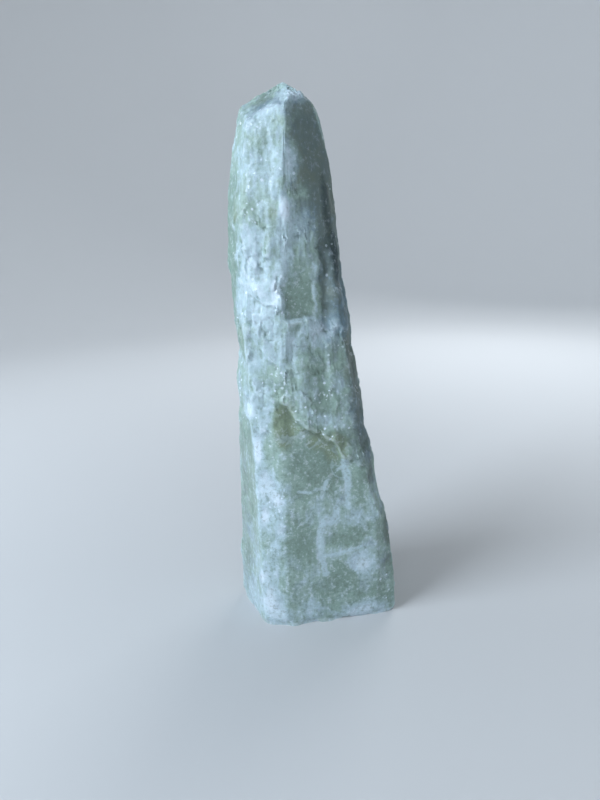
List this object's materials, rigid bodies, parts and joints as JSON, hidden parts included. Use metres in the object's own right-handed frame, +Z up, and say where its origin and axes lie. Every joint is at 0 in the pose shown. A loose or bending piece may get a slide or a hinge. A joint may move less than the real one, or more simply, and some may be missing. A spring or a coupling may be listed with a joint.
{
  "type": "raw soapstone",
  "caption": "Tall rough wedge of raw green and white soapstone, standing on its flat sawn base.",
  "frame": {"origin": "on the base plane, under the middle of the stone's outline", "axes": "+Z up the stone from its flat base to its peak, +X to the right and +Y to the back as the face with the ledge is looked at"},
  "size_m": [0.094, 0.066, 0.2907],
  "materials": {
    "soapstone": "rough, waxy green stone with white clouds and veins"
  },
  "bodies": {
    "root": {"soapstone": "soapstone"}
  },
  "joints": []
}
